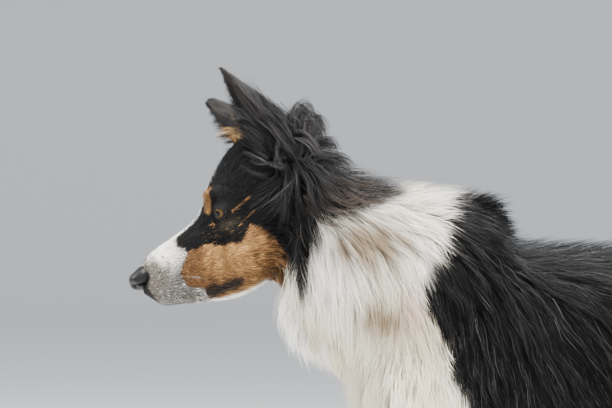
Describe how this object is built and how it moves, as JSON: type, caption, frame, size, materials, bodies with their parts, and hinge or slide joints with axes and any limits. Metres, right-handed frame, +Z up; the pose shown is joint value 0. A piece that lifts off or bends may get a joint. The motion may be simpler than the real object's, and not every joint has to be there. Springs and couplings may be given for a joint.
{
  "type": "standing dog model",
  "caption": "Life-size still model of a standing long-coated herding dog with pricked ears, a deep ruff, feathered legs and a low hanging brush of a tail.",
  "frame": {"origin": "on the floor under the middle of the animal's box", "axes": "+Z up; the dog faces -X with its left side towards -Y"},
  "size_m": [0.9688, 0.254, 0.6969],
  "materials": {
    "black_coat": "long glossy black hair",
    "white_coat": "long soft white hair",
    "nose_leather": "moist pebbled black nose skin",
    "eye": "wet amber-brown eyeball",
    "claw": "dark smooth horn"
  },
  "bodies": {
    "root": {"claw_fore_left_1": "claw", "claw_fore_left_2": "claw", "claw_fore_left_3": "claw", "claw_fore_left_4": "claw", "claw_fore_right_1": "claw", "claw_fore_right_2": "claw", "claw_fore_right_3": "claw", "claw_fore_right_4": "claw", "claw_hind_left_1": "claw", "claw_hind_left_2": "claw", "claw_hind_left_3": "claw", "claw_hind_left_4": "claw", "claw_hind_right_1": "claw", "claw_hind_right_2": "claw", "claw_hind_right_3": "claw", "claw_hind_right_4": "claw", "ear_left": "black_coat", "ear_right": "black_coat", "eye_left": "eye", "eye_right": "eye", "foreleg_left_forearm": "white_coat", "foreleg_left_pastern": "white_coat", "foreleg_left_upper_arm": "black_coat", "foreleg_right_forearm": "white_coat", "foreleg_right_pastern": "white_coat", "foreleg_right_upper_arm": "black_coat", "forepaw_left": "white_coat", "forepaw_right": "white_coat", "head": "black_coat", "hindleg_left_pastern": "white_coat", "hindleg_left_shank": "white_coat", "hindleg_left_thigh": "black_coat", "hindleg_right_pastern": "white_coat", "hindleg_right_shank": "white_coat", "hindleg_right_thigh": "black_coat", "hindpaw_left": "white_coat", "hindpaw_right": "white_coat", "lower_jaw": "white_coat", "neck": "white_coat", "nose": "nose_leather", "ribcage": "black_coat", "rump": "black_coat", "tail_brush": "black_coat", "tail_root": "black_coat"}
  },
  "joints": []
}
